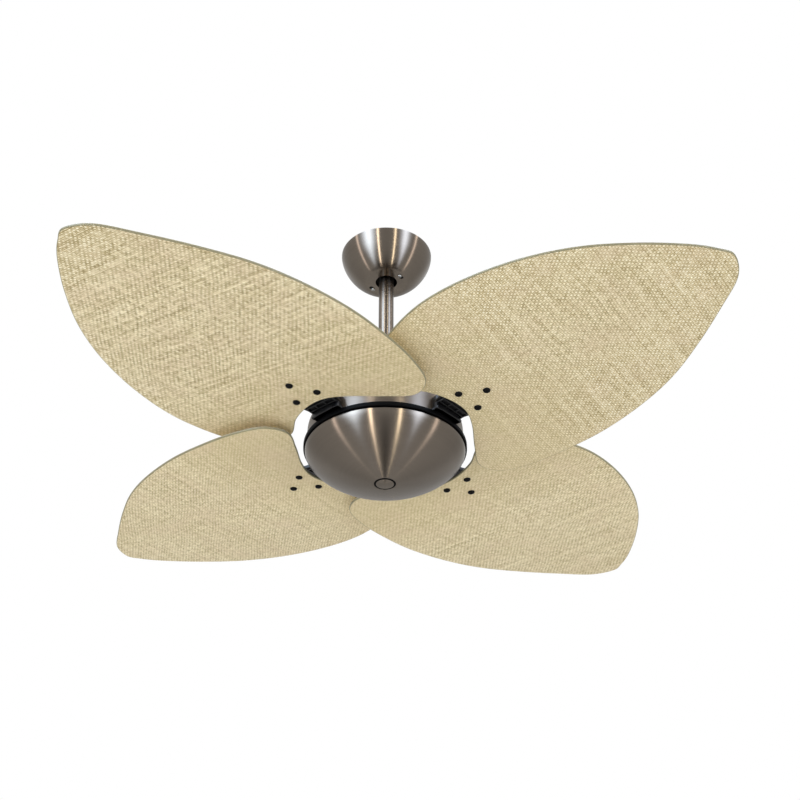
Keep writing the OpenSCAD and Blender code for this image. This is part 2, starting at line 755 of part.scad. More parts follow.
module blade_arm(i) {
    low = -arm_half_w;
    color(black) difference() {
        union() {
            at_blade(i) {
                translate([0, 0, ring_h]) linear_extrude(arm_t) polygon(rounded([
                    [motor_r + 2, low + 2], [arm_block_out - 1, low], [arm_block_out - 1, -low],
                    [motor_r + 2, -low - 2]], 2));
                intersection() {
                    ring(arm_block_out, arm_block_in, ring_h, arm_block_top - ring_h);
                    translate([0, low, ring_h]) cube([2 * cover_r, 2 * arm_half_w, arm_block_top]);
                }
            }
            at_blade_plane(i) {
                translate([0, 0, blade_t / 2]) linear_extrude(arm_plate_t) difference() {
                    polygon(rounded([[arm_block_in, low + 1], [near_screw_r - 6, low - 9],
                                     [far_screw_r + 13, -10], [far_screw_r + 13, 10],
                                     [near_screw_r - 6, 9 - low], [arm_block_in, -low - 1]], 9));
                    circle(r = ring_r + gap);
                }
                for (side = [-1, 0, 1]) translate([0, side * (arm_half_w - 5), blade_t / 2]) {
                    reach = (side == 0 ? far_screw_r - 8 : near_screw_r - 4) - arm_block_in - 4;
                    translate([arm_block_in + 4, -arm_rib_t / 2, 0]) cube([reach, arm_rib_t, arm_boss_h + 2]);
                }
                for (p = blade_holes) translate([p[0], p[1], blade_t / 2])
                    cylinder(d = arm_boss_d, h = arm_boss_h);
            }
        }
        at_blade(i) arm_screw_places() translate([0, 0, ring_h - 1])
            cylinder(d = arm_screw_d + 2 * fit, h = arm_t + 2);
        at_blade_plane(i) for (p = blade_holes) translate([p[0], p[1], 0])
            cylinder(d = blade_screw_d + 2 * fit, h = blade_t + arm_boss_h + 8);
    }
}

module blade_arm_screws() {
    color(steel) for (i = [0:blades - 1]) at_blade(i) arm_screw_places()
        translate([0, 0, cap_floor]) rotate([180, 0, 0])
            pan_screw(arm_screw_d, cap_plate + arm_t + 2, 9, 3);
}

module blade(i) {
    color(weave) at_blade_plane(i) difference() {
        translate([0, 0, -blade_t / 2]) linear_extrude(blade_t)
            polygon(smooth([for (p = blade_points) placed(p)], 6));
        for (p = blade_holes) translate([p[0], p[1], -blade_t])
            cylinder(d = blade_screw_d + 0.4, h = 2 * blade_t);
    }
}

module blade_screws() {
    color(black) for (i = [0:blades - 1]) at_blade_plane(i) for (p = blade_holes)
        translate([p[0], p[1], -blade_t / 2]) rotate([180, 0, 0])
            pan_screw(blade_screw_d, blade_t + arm_boss_h + 1, blade_head_d, 3);
}

ceiling_bracket();
hanger_bolt();
hanger_nut();
hanger_split_pin();
terminal_block();
capacitor();
bracket_clip_screws();
canopy();
canopy_screws();
downrod();
hanger_bush();
motor_collar();
collar_bolt();
collar_nut();
collar_split_pin();
motor_shaft();
stator_core();
stator_coils();
bearing_inner_races();
shaft_circlips();
bowl();
bowl_washer();
bowl_nut();
bowl_cap();
bearing_balls();
bearing_cages();
bearing_outer_races();
rotor_core();
rotor_end_rings();
motor_upper_cap();
motor_lower_cap();
motor_cap_screws();
upper_cover();
cover_screws();
trim_ring();
blade_arm(0);  // blade_arm_1
blade_arm(1);  // blade_arm_2
blade_arm(2);  // blade_arm_3
blade_arm(3);  // blade_arm_4
blade_arm_screws();
blade(0);  // blade_1
blade(1);  // blade_2
blade(2);  // blade_3
blade(3);  // blade_4
blade_screws();
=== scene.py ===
import json
import math

import bmesh
import bpy
from mathutils import Matrix, Vector


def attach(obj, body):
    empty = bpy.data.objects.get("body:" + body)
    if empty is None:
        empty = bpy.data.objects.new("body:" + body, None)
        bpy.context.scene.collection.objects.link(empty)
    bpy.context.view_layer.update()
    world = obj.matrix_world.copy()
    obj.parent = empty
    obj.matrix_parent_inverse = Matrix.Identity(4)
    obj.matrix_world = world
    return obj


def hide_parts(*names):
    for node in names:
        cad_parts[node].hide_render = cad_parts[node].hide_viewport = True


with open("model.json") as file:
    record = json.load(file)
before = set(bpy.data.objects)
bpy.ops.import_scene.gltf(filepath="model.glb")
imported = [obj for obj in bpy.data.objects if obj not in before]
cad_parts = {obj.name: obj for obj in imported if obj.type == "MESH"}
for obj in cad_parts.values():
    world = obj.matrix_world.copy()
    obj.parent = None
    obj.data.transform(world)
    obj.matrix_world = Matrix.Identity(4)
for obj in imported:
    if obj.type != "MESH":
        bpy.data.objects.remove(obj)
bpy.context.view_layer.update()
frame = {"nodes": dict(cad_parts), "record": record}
cadNodes = frame["nodes"]
print("frame loaded,", len(cadNodes), "nodes")


class Signal:
    # a node's output that takes part in arithmetic
    def __init__(self, work, socket):
        self.work = work
        self.socket = socket

    def maths(self, operation, *others):
        values = dict(enumerate((self,) + others))
        return self.work.node("Math", {"operation": operation}, values)

    def reflected(self, operation, other):
        return self.work.node("Math", {"operation": operation}, {0: other, 1: self})

    def held(self, least, most):
        return self.maths("MAXIMUM", least).maths("MINIMUM", most)

    def __add__(self, other):
        return self.maths("ADD", other)

    def __radd__(self, other):
        return self.reflected("ADD", other)

    def __sub__(self, other):
        return self.maths("SUBTRACT", other)

    def __rsub__(self, other):
        return self.reflected("SUBTRACT", other)

    def __mul__(self, other):
        return self.maths("MULTIPLY", other)

    def __rmul__(self, other):
        return self.reflected("MULTIPLY", other)

    def __truediv__(self, other):
        return self.maths("DIVIDE", other)

    def __rtruediv__(self, other):
        return self.reflected("DIVIDE", other)


class NodeWork:
    # nodes and links of one material or world
    def __init__(self, tree):
        self.tree = tree

    def node(self, kind, settings=None, inputs=None, output=0):
        made = self.tree.nodes.new("ShaderNode" + kind)
        for name, value in (settings or {}).items():
            if name == "stops":
                ramp = made.color_ramp
                while len(ramp.elements) < len(value):
                    ramp.elements.new(0.5)
                for element, (place, colour) in zip(ramp.elements, value):
                    element.position = place
                    element.color = (*colour, 1)
            else:
                setattr(made, name, value)
        for name, value in (inputs or {}).items():
            self.feed(made.inputs[name], value)
        return Signal(self, made.outputs[output])

    def feed(self, socket, value):
        if isinstance(value, Signal):
            self.tree.links.new(value.socket, socket)
        else:
            socket.default_value = value

    def mixed(self, factor, first, second):
        first, second = [(*c, 1) if isinstance(c, tuple) else c for c in (first, second)]
        return self.node("Mix", {"data_type": "RGBA"}, {0: factor, 6: first, 7: second}, 2)

    def place(self):
        return self.node("TexCoord", output=3)

    def parts(self, vector):
        split = self.node("SeparateXYZ", inputs={0: vector})
        return [Signal(self, socket) for socket in split.socket.node.outputs]

    def joined(self, x, y, z):
        return self.node("CombineXYZ", inputs={0: x, 1: y, 2: z})

    def noise(self, vector, scale, detail, output=0):
        return self.node("TexNoise", {}, {"Vector": vector, "Scale": scale, "Detail": detail}, output)


class Finish(NodeWork):
    # one material with a Principled shader
    def __init__(self, name, fixed):
        self.material = bpy.data.materials.new(name)
        self.material.use_nodes = True
        super().__init__(self.material.node_tree)
        self.shader = self.tree.nodes["Principled BSDF"]
        self.set(fixed)

    def set(self, values):
        for name, value in values.items():
            if isinstance(value, tuple):
                value = (*value, 1)
            self.feed(self.shader.inputs[name], value)

    def bump(self, height, distance):
        self.set({"Normal": self.node("Bump", {}, {"Distance": distance, "Height": height})})


def shade(red, green, blue):
    # a colour read off a screen, made linear
    return tuple(c / 12.92 if c <= 0.04045 else ((c + 0.055) / 1.055) ** 2.4
                 for c in (red / 255, green / 255, blue / 255))


# a quarter turn of the brushing stands the highlights upright
brushing = {"turn": 0.25, "round": 0.6, "scratchTone": 0.55, "scratchRoughness": 0.08,
            "cloudGrain": 14.0, "cloudTone": 0.45, "cloudRoughness": 0.05, "leastRadius": 1e-4}


def turnedMetal(name, look):
    # metal brushed round the vertical axis
    finish = Finish(name, {"Metallic": look["metal"], "Roughness": look["roughness"],
                           "Anisotropic": look["anisotropy"], "Anisotropic Rotation": brushing["turn"]})
    x, y, z = finish.parts(finish.place())
    radius = (x * x + y * y).maths("SQRT")
    reach = radius + brushing["leastRadius"]
    spot = finish.joined(x / reach * brushing["round"], y / reach * brushing["round"], z * look["scratches"])
    fine = finish.node("TexNoise", {"noise_dimensions": "4D"},
                       {"Vector": spot, "W": radius * look["scratches"], "Scale": 1.0, "Detail": 3.0})
    clouds = finish.noise(finish.place(), brushing["cloudGrain"], detail=3.0)
    tone = fine * brushing["scratchTone"] + clouds * brushing["cloudTone"]
    finish.set({"Base Color": finish.mixed(tone, look["dark"], look["light"]),
                "Roughness": look["roughness"] + (fine - 0.5) * brushing["scratchRoughness"]
                + (clouds - 0.5) * brushing["cloudRoughness"]})
    finish.bump(fine, look["depth"])
    return finish


metalSkin = {"patchGrain": 60.0, "grainTone": 0.5, "patchTone": 0.5, "patchRoughness": 0.2}


def plainMetal(name, look):
    finish = Finish(name, {"Metallic": 1.0, "Roughness": look["roughness"]})
    grain = finish.noise(finish.place(), look["grain"], detail=4.0)
    patches = finish.noise(finish.place(), metalSkin["patchGrain"], detail=2.0)
    tone = grain * metalSkin["grainTone"] + patches * metalSkin["patchTone"]
    finish.set({"Base Color": finish.mixed(tone, look["dark"], look["light"]),
                "Roughness": look["roughness"] + (patches - 0.5) * metalSkin["patchRoughness"]})
    finish.bump(grain, look["depth"])
    return finish


plasticSkin = {"patchGrain": 40.0, "patchRoughness": 0.14, "specular": 0.5}


def mouldedPlastic(name, look):
    specular = look.get("specular", plasticSkin["specular"])
    finish = Finish(name, {"Roughness": look["roughness"], "Specular IOR Level": specular})
    grain = finish.noise(finish.place(), look["grain"], detail=2.0)
    patches = finish.noise(finish.place(), plasticSkin["patchGrain"], detail=3.0)
    finish.set({"Base Color": finish.mixed(patches, look["dark"], look["light"]),
                "Roughness": look["roughness"] + (patches - 0.5) * plasticSkin["patchRoughness"]})
    finish.bump(grain, look["depth"])
    return finish


patternStep = 3.0  # from one blade's pattern to the next one's

bladeWeave = {
    # degrees a thread's direction is turned, metres between threads, and what a thread adds to the tone
    "threads": [{"turn": 8.5, "pitch": 0.0039, "speckle": 0.62, "streak": 0.56},
                {"turn": -1.0, "pitch": 0.0036, "speckle": 0.38, "streak": 0.3}],
    "wander": 0.011, "wanderGrain": 9.0,
    "streakGrain": (210.0, 5.0),  # across and along a thread
    "speckleApart": 7.0,  # keeps the two directions' speckles different
    "crossing": 1.6, "sunk": 0.8,  # how sharply one thread passes under the other, and how far
    "fibreGrain": 500.0, "fibreRelief": 0.15, "depth": 0.00028,
    "roughness": 0.6, "grooveRoughness": 0.12, "specular": 0.3,
    # reliefShadeTone: painted highlight on the thread tops and painted shade in the gaps between threads
    "reliefShadeTone": 0.6, "speckleTone": 0.56, "checkTone": 0.3, "cellTone": 0.26, "fibreTone": 0.3,
    # litReliefGain: painted light and shade, the extra weave contrast on the first two blades
    "baseTone": -0.13, "litReliefGain": 0.5,
    # the weave stands out less near the root
    "calmTone": 0.42, "calmFrom": 0.04, "calmLength": 0.3, "leastContrast": 0.4,
    "patchGrain": 16.0, "patchFrom": 0.45, "pink": shade(216, 192, 162),
    "stops": [(0.0, shade(128, 112, 70)), (0.25, shade(180, 162, 116)), (0.5, shade(214, 198, 158)),
              (0.75, shade(240, 226, 190)), (1.0, shade(255, 246, 218))]}


def wovenFibre(name, look):
    # plain weave of flat fibres; the two thread directions are not quite square to each other
    finish = Finish(name, {"Roughness": look["roughness"], "Specular IOR Level": look["specular"]})
    spot = finish.node("Attribute", {"attribute_name": "bladePlace"}, output=1)
    wander = finish.noise(spot, look["wanderGrain"], detail=2.0, output=1)
    drift = finish.node("VectorMath", {"operation": "MULTIPLY_ADD"},
                        {0: wander, 1: (look["wander"],) * 3, 2: spot})
    counts, rounds, speckles, streaks = [], [], [], []
    for axis, thread in enumerate(look["threads"]):
        turned = finish.node("Mapping", {},
                             {"Vector": drift, "Rotation": (0, 0, -math.radians(thread["turn"]))})
        parts = finish.parts(turned)
        count = parts[axis] / thread["pitch"]
        counts.append(count.maths("FLOOR"))
        rounds.append((count * math.pi).maths("SINE"))
        # speckles finer than a fibre, then streaks that follow the thread
        grain = finish.joined(counts[axis], parts[2] + look["speckleApart"] * axis, 0.0)
        speckle = finish.node("TexWhiteNoise", {"noise_dimensions": "2D"}, {"Vector": grain})
        speckles.append(speckle * thread["speckle"])
        acrossGrain, alongGrain = look["streakGrain"]
        lane = finish.joined(parts[axis] * acrossGrain, parts[1 - axis] * alongGrain, parts[2] + axis)
        streaks.append((finish.noise(lane, 1.0, detail=3.0) - 0.5) * thread["streak"])
    cell = finish.node("TexWhiteNoise", {}, {"Vector": finish.joined(counts[0], counts[1], 0.0)})
    # one where the first thread lies on top, nothing where the second does
    over = (rounds[0] * rounds[1] * look["crossing"] + 0.5).held(0.0, 1.0)
    ridges = [r.maths("ABSOLUTE") for r in rounds]
    height = (ridges[0] * (over * look["sunk"] + (1.0 - look["sunk"]))).maths(
        "MAXIMUM", ridges[1] * (1.0 - over * look["sunk"]))
    along, across, number = finish.parts(drift)
    fibres = finish.noise(finish.joined(along * look["fibreGrain"], across * look["fibreGrain"], number),
                          1.0, detail=2.0)
    # painted light and shade: the first blade's weave gets the strongest contrast, and the second's a little
    # more than the others, for how light falls on their relief
    litRelief = (1.0 - number / (2 * patternStep)).maths("MAXIMUM", 0.0)
    gain = litRelief * litRelief * look["litReliefGain"] + 1.0
    uneven = (cell - 0.5) * look["cellTone"] + streaks[0] + streaks[1]
    # the thread height paints the tops lighter and the gaps darker: painted highlight and painted shade
    light = (height * look["reliefShadeTone"] + (speckles[0] + speckles[1]) * look["speckleTone"]
             + (over - 0.5) * look["checkTone"] + uneven * gain + (fibres - 0.5) * look["fibreTone"]
             + look["baseTone"])
    contrast = ((along - look["calmFrom"]) / look["calmLength"]).held(look["leastContrast"], 1.0)
    light = (light - look["calmTone"]) * contrast + look["calmTone"]
    tone = finish.node("ValToRGB", {"stops": look["stops"]}, {0: light})
    patches = finish.noise(spot, look["patchGrain"], detail=3.0)
    tone = finish.mixed(patches - look["patchFrom"], tone, look["pink"])
    finish.set({"Base Color": tone,
                "Roughness": look["roughness"] + (0.5 - height) * look["grooveRoughness"]})
    finish.bump(height + fibres * look["fibreRelief"], look["depth"])
    return finish


finishes = {
    "brushed_bronze": turnedMetal("brushedBronze", {
        "dark": shade(92, 84, 76), "light": shade(128, 119, 109), "metal": 1.0, "roughness": 0.21,
        "anisotropy": 0.98, "scratches": 2600.0, "depth": 0.00002}),
    "rod_bronze": turnedMetal("rodBronze", {
        "dark": shade(96, 88, 79), "light": shade(122, 113, 104), "metal": 1.0, "roughness": 0.28,
        "anisotropy": 0.8, "scratches": 1500.0, "depth": 0.00001}),
    # painted shade: black enamel for the ceiling bracket and the canopy's inside, which lie in the shade of
    # the closed cup
    "bracket_enamel": mouldedPlastic("paintedShadeEnamel", {
        "dark": shade(14, 14, 14), "light": shade(26, 26, 26), "roughness": 0.5, "grain": 900.0,
        "depth": 0.00003}),
    "zinc_plate": plainMetal("zincPlate", {
        "dark": shade(176, 178, 176), "light": shade(214, 214, 208), "roughness": 0.34, "grain": 700.0,
        "depth": 0.00003}),
    "screw_steel": plainMetal("screwSteel", {
        "dark": shade(140, 141, 142), "light": shade(190, 190, 188), "roughness": 0.3, "grain": 900.0,
        "depth": 0.00002}),
    "shaft_steel": plainMetal("shaftSteel", {
        "dark": shade(160, 161, 163), "light": shade(200, 200, 200), "roughness": 0.22, "grain": 1400.0,
        "depth": 0.00001}),
    "core_steel": plainMetal("coreSteel", {
        "dark": shade(88, 89, 92), "light": shade(128, 128, 130), "roughness": 0.5, "grain": 900.0,
        "depth": 0.00004}),
    "coil_copper": plainMetal("coilCopper", {
        "dark": shade(150, 78, 40), "light": shade(196, 112, 62), "roughness": 0.32, "grain": 1200.0,
        "depth": 0.00006}),
    "bearing_steel": plainMetal("bearingSteel", {
        "dark": shade(190, 191, 194), "light": shade(222, 222, 222), "roughness": 0.12, "grain": 1600.0,
        "depth": 0.000004}),
    "cage_brass": plainMetal("cageBrass", {
        "dark": shade(176, 146, 84), "light": shade(206, 178, 112), "roughness": 0.34, "grain": 1200.0,
        "depth": 0.00001}),
    "cast_aluminium": plainMetal("castAluminium", {
        "dark": shade(158, 160, 162), "light": shade(196, 197, 197), "roughness": 0.48, "grain": 480.0,
        "depth": 0.00009}),
    "terminal_plastic": mouldedPlastic("terminalPlastic", {
        "dark": shade(222, 218, 204), "light": shade(238, 234, 222), "roughness": 0.45, "grain": 1500.0,
        "depth": 0.00003}),
    "capacitor_case": mouldedPlastic("capacitorCase", {
        "dark": shade(22, 22, 26), "light": shade(38, 38, 42), "roughness": 0.42, "grain": 1500.0,
        "depth": 0.00003}),
    "bush_rubber": mouldedPlastic("bushRubber", {
        "dark": shade(20, 20, 20), "light": shade(34, 34, 34), "roughness": 0.8, "grain": 1200.0,
        "depth": 0.00006}),
    "collar_paint": mouldedPlastic("collarPaint", {
        "dark": shade(22, 21, 20), "light": shade(36, 35, 34), "roughness": 0.36, "grain": 800.0,
        "depth": 0.00003}),
    "arm_plastic": mouldedPlastic("armPlastic", {
        "dark": shade(6, 6, 7), "light": shade(13, 13, 15), "roughness": 0.3, "specular": 0.3,
        "grain": 1400.0, "depth": 0.00003}),
    "black_screw": mouldedPlastic("blackScrew", {
        "dark": shade(4, 4, 4), "light": shade(12, 11, 10), "roughness": 0.42, "specular": 0.08,
        "grain": 1800.0, "depth": 0.00002}),
    "woven_blade": wovenFibre("wovenBlade", bladeWeave),
}
bladeEdge = mouldedPlastic("bladeEdge", {
    "dark": shade(126, 121, 94), "light": shade(148, 141, 110), "roughness": 0.5, "grain": 900.0,
    "depth": 0.00003})
ringBlack = mouldedPlastic("ringBlack", {
    "dark": shade(3, 3, 3), "light": shade(7, 7, 8), "roughness": 0.46, "specular": 0.03, "grain": 1400.0,
    "depth": 0.00003})
# painted shade: a darker, half-metallic copy of the brushed bronze for the upper cover, which dims the
# cover's highlights
coverShadedBronze = turnedMetal("coverShadedBronze", {
    "dark": shade(82, 73, 64), "light": shade(116, 105, 93), "metal": 0.52, "roughness": 0.36,
    "anisotropy": 0.9, "scratches": 2600.0, "depth": 0.00002})

for row in frame["record"]["subparts"]:
    carried = cadNodes[row["node"]]
    carried.data.materials.clear()
    carried.data.materials.append(finishes[row["material_slot"]].material)
print("finishes made,", len(finishes))


def quarter(inner, reach, level, rise, power, last=90.0, steps=24):
    # part of a superellipse, from its widest point towards the axis
    points = []
    for i in range(steps + 1):
        angle = math.radians(last * i / steps)
        points.append((inner + reach * max(math.cos(angle), 0.0) ** (2 / power),
                       level + rise * math.sin(angle) ** (2 / power)))
    return points


def lathe(profile, steps):
    # closed outline of (radius, height) spun round the vertical axis
    shape = bmesh.new()
    corners = [shape.verts.new((r, 0, z)) for r, z in profile]
    rims = [shape.edges.new(pair) for pair in zip(corners, corners[1:] + corners[:1])]
    bmesh.ops.spin(shape, geom=corners + rims, cent=(0, 0, 0), axis=(0, 0, 1), angle=2 * math.pi,
                   steps=steps, use_merge=True)
    bmesh.ops.remove_doubles(shape, verts=shape.verts, dist=1e-6)
    bmesh.ops.recalc_face_normals(shape, faces=shape.faces)
    return shape


def soften(shape, width, segments=2, sharper=35.0):
    chosen = [e for e in shape.edges
              if len(e.link_faces) == 2 and e.calc_face_angle(0) > math.radians(sharper)]
    bmesh.ops.bevel(shape, geom=chosen, offset=width, offset_type="OFFSET", affect="EDGES", segments=segments,
                    profile=0.5, material=-1, clamp_overlap=True)


def prism(shape, outline, low, high, matrix):
    # outline of (x, y) points, drawn up from low to high
    face = shape.faces.new([shape.verts.new((x, y, low)) for x, y in outline])
    drawn = bmesh.ops.extrude_face_region(shape, geom=[face], use_keep_orig=True)["geom"]
    top = [v for v in drawn if isinstance(v, bmesh.types.BMVert)]
    bmesh.ops.translate(shape, verts=top, vec=(0, 0, high - low))
    bmesh.ops.transform(shape, matrix=matrix, verts=list(face.verts) + top)


def bar(shape, size, matrix):
    bmesh.ops.create_cube(shape, size=1.0, matrix=matrix @ Matrix.Diagonal((*size, 1)))


def carved(shape, cutter):
    # the first shape without the second
    parts = []
    for name, part in (("carvedShape", shape), ("carvingTool", cutter)):
        bmesh.ops.recalc_face_normals(part, faces=part.faces)
        mesh = bpy.data.meshes.new(name)
        part.to_mesh(mesh)
        part.free()
        parts.append(bpy.data.objects.new(name, mesh))
        bpy.context.scene.collection.objects.link(parts[-1])
    cut = parts[0].modifiers.new("cut", "BOOLEAN")
    cut.object = parts[1]
    cut.operation = "DIFFERENCE"
    cut.solver = "EXACT"
    result = bmesh.new()
    result.from_object(parts[0], bpy.context.evaluated_depsgraph_get())
    for part in parts:
        bpy.data.meshes.remove(part.data)
    return result


def finished(name, shape, body, slot, replaced, extra=(), smooth=32.0):
    bmesh.ops.recalc_face_normals(shape, faces=shape.faces)
    mesh = bpy.data.meshes.new(name)
    shape.to_mesh(mesh)
    shape.free()
    piece = bpy.data.objects.new(name, mesh)
    bpy.context.scene.collection.objects.link(piece)
    mesh.materials.append(finishes[slot].material)
    for other in extra:
        mesh.materials.append(other.material)
    mesh.shade_smooth()
    mesh.set_sharp_from_angle(angle=math.radians(smooth))
    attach(piece, body)
    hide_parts(*replaced)
    return piece


hub = -0.405  # level of the ring's underside
bowlSizes = {"radius": 0.128, "rim": hub - 0.002, "depth": 0.060, "fullness": 1.6, "sheet": 0.0015,
             "edge": 0.0004, "capGap": 0.0003, "seatHeight": 0.011, "studHole": 0.00505}
capSizes = {"radius": 0.017, "thickness": 0.0012, "skirt": (0.0145, 0.0165), "skirtTop": hub - 0.0513,
            "blackEdge": 0.0024, "edge": 0.0004}


def bowlWall(wide, deep, seat):
    # one side of the bowl's sheet, from the rim to the cap's seat
    full = bowlSizes["fullness"]
    last = math.degrees(math.acos((seat / wide) ** (full / 2)))
    return quarter(0, wide, bowlSizes["rim"], -deep, full, last, steps=40)


def bowl():
    rim, depth, sheet, hole = [bowlSizes[key] for key in ("rim", "depth", "sheet", "studHole")]
    seat = capSizes["radius"] + bowlSizes["capGap"]
    floor = rim - depth + bowlSizes["seatHeight"]
    outer = bowlWall(bowlSizes["radius"], depth, seat)
    inner = bowlWall(bowlSizes["radius"] - sheet, depth - sheet, seat + sheet)
    middle = [(seat, floor), (hole, floor), (hole, floor + sheet), (seat + sheet, floor + sheet)]
    shape = lathe(outer + middle + inner[::-1], steps=192)
    soften(shape, bowlSizes["edge"])
    finished("bowlShell", shape, "hanging_assembly", "brushed_bronze", ["bowl"], smooth=28)


def bowlCap():
    # the cap's face carries on the bowl's outside
    wide, full = capSizes["radius"], bowlSizes["fullness"]
    outline = []
    steps = 12
    for i in range(steps + 1):
        r = wide * i / steps
        outline.append((r, bowlSizes["rim"]
                        - bowlSizes["depth"] * (1 - (r / bowlSizes["radius"]) ** full) ** (1 / full)))
    back = outline[-1][1] + capSizes["thickness"]
    narrow, outside = capSizes["skirt"]
    shape = lathe(outline + [(wide, back), (outside, back), (outside, capSizes["skirtTop"]),
                             (narrow, capSizes["skirtTop"]), (narrow, back), (0.0, back)], steps=96)
    soften(shape, capSizes["edge"], segments=3, sharper=45)
    for face in shape.faces:
        middle = face.calc_center_median()
        face.material_index = 1 if middle.xy.length > wide - capSizes["blackEdge"] else 0
    finished("bowlCentreCap", shape, "hanging_assembly", "brushed_bronze", ["bowl_cap"], [ringBlack],
             smooth=28)


ringSizes = {"radius": 0.1305, "inside": 0.1143, "height": 0.008, "wall": 0.003, "flangeFrom": 0.005,
             "chamfer": 0.0008, "edge": 0.0005}


def trimRing():
    wide, inside, wall, chamfer = [ringSizes[key] for key in ("radius", "inside", "wall", "chamfer")]
    flange, top = hub + ringSizes["flangeFrom"], hub + ringSizes["height"]
    shape = lathe([(inside, flange), (wide - wall, flange), (wide - wall, hub), (wide - chamfer, hub),
                   (wide, hub + chamfer), (wide, top - chamfer), (wide - chamfer, top), (inside, top)],
                  steps=192)
    soften(shape, ringSizes["edge"])
    for face in shape.faces:
        face.material_index = 1
    finished("trimRingBand", shape, "rotor", "arm_plastic", ["trim_ring"], [ringBlack])


coverSizes = {"radius": 0.125, "height": 0.066, "straight": 0.024, "flat": 0.072, "hole": 0.0247,
              "sheet": 0.0015, "fullness": 2.1, "edge": 0.0004,
              # out from the wall and up from its lower edge
              "bead": [(0.0002, 0.0), (0.0012, 0.0009), (0.0016, 0.0022), (0.0012, 0.0034), (0.0, 0.0042)]}


def upperCover():
    wide, flat, sheet, hole = [coverSizes[key] for key in ("radius", "flat", "sheet", "hole")]
    low = hub + ringSizes["height"]
    top = low + coverSizes["height"]
    bend = low + coverSizes["straight"]
    outer = quarter(flat, wide - flat, bend, top - bend, coverSizes["fullness"])
    inner = quarter(flat, wide - flat - sheet, bend, top - bend - sheet, coverSizes["fullness"])
    bead = [(wide + out, low + up) for out, up in coverSizes["bead"]]
    brim = [(hole, top), (hole, top - sheet)]
    shape = lathe(bead + outer + brim + inner[::-1] + [(wide - sheet, low)], steps=192)
    soften(shape, coverSizes["edge"])
    # the whole cover shell takes the darker copy of the bronze, painted shade
    for face in shape.faces:
        face.material_index = 1
    finished("upperCoverShell", shape, "rotor", "brushed_bronze", ["upper_cover"], [coverShadedBronze], smooth=28)


canopySizes = {"radius": 0.078, "flat": 0.036, "depth": 0.058, "straight": 0.003, "wall": 0.0012,
               "fullness": 1.6, "rodHole": 0.0185, "ceilingGap": 0.0003, "lipRadius": 0.0732,
               "lipUnderside": 0.0015, "edge": 0.0004}
# the slot's turn about the rod, how far its round entry is turned on from there, and widths;
# the tool that cuts it stands out by the spare length
keyhole = {"turn": -39, "entryTurn": 10.5, "radius": 0.0295, "slot": 0.0046, "entry": 0.0072, "spare": 0.001}


def keyholeOutline():
    # slot and entry as two round ends of different width
    radius, halfSlot = keyhole["radius"], keyhole["slot"] / 2
    away = math.radians(keyhole["entryTurn"])
    entry = Vector((radius * math.cos(away), radius * math.sin(away)))
    neck = Vector((radius, 0))
    reach = entry - neck
    outline = []
    steps = 24
    for middle, size, start in ((neck, halfSlot, 180), (entry, keyhole["entry"] / 2, 0)):
        lean = math.asin(halfSlot / size) if size > halfSlot else math.pi / 2
        heading = math.atan2(reach.y, reach.x) + math.radians(start)
        for i in range(steps + 1):
            angle = heading - (math.pi - lean) + 2 * (math.pi - lean) * i / steps
            outline.append(tuple(middle + size * Vector((math.cos(angle), math.sin(angle)))))
    return outline


def canopyCup():
    radius, flat, deep, straight, wall, full, hole, gap = [canopySizes[key] for key in (
        "radius", "flat", "depth", "straight", "wall", "fullness", "rodHole", "ceilingGap")]
    lipRadius, lipLevel = canopySizes["lipRadius"], -canopySizes["lipUnderside"]
    outer = quarter(flat, radius - flat, -straight, straight - deep, full, steps=32)
    inner = quarter(flat, radius - flat - wall, -straight, straight - deep + wall, full, steps=32)
    lip = [(radius - wall, lipLevel), (lipRadius, lipLevel), (lipRadius, -gap)]
    brim = [(hole, -deep), (hole, -deep + wall)]
    shape = lathe([(radius, -gap)] + outer + brim + inner[::-1] + lip, steps=160)
    soften(shape, canopySizes["edge"], segments=3, sharper=40)
    cutter = bmesh.new()
    for turn in (keyhole["turn"], keyhole["turn"] + 180):
        prism(cutter, keyholeOutline(), -deep - keyhole["spare"], -deep + wall + keyhole["spare"],
              Matrix.Rotation(math.radians(turn), 4, "Z"))
    shape = carved(shape, cutter)
    shape.normal_update()
    # painted shade: faces that look back towards the middle of the shallow cup, its inside, take the black
    # enamel
    squash, lift = 0.6, 0.01
    for face in shape.faces:
        middle = face.calc_center_median()
        outward = Vector((middle.x, middle.y, middle.z * squash + lift))
        face.material_index = 1 if face.normal.dot(outward) < 0 else 0
    dark = finishes["bracket_enamel"]
    finished("canopyCup", shape, "canopy_cup", "brushed_bronze", ["canopy"], [dark], smooth=28)


rodSizes = {"radius": 0.0127, "wall": 0.002, "top": -0.028, "bottom": hub + 0.078, "edge": 0.0005}


def rod():
    radius, wall, top, bottom = [rodSizes[key] for key in ("radius", "wall", "top", "bottom")]
    shape = lathe([(radius, top), (radius, bottom), (radius - wall, bottom), (radius - wall, top)], steps=96)
    soften(shape, rodSizes["edge"], sharper=60)
    finished("downrodTube", shape, "hanging_assembly", "rod_bronze", ["downrod"])


bowl()
bowlCap()
trimRing()
upperCover()
canopyCup()
rod()
print("housing made")

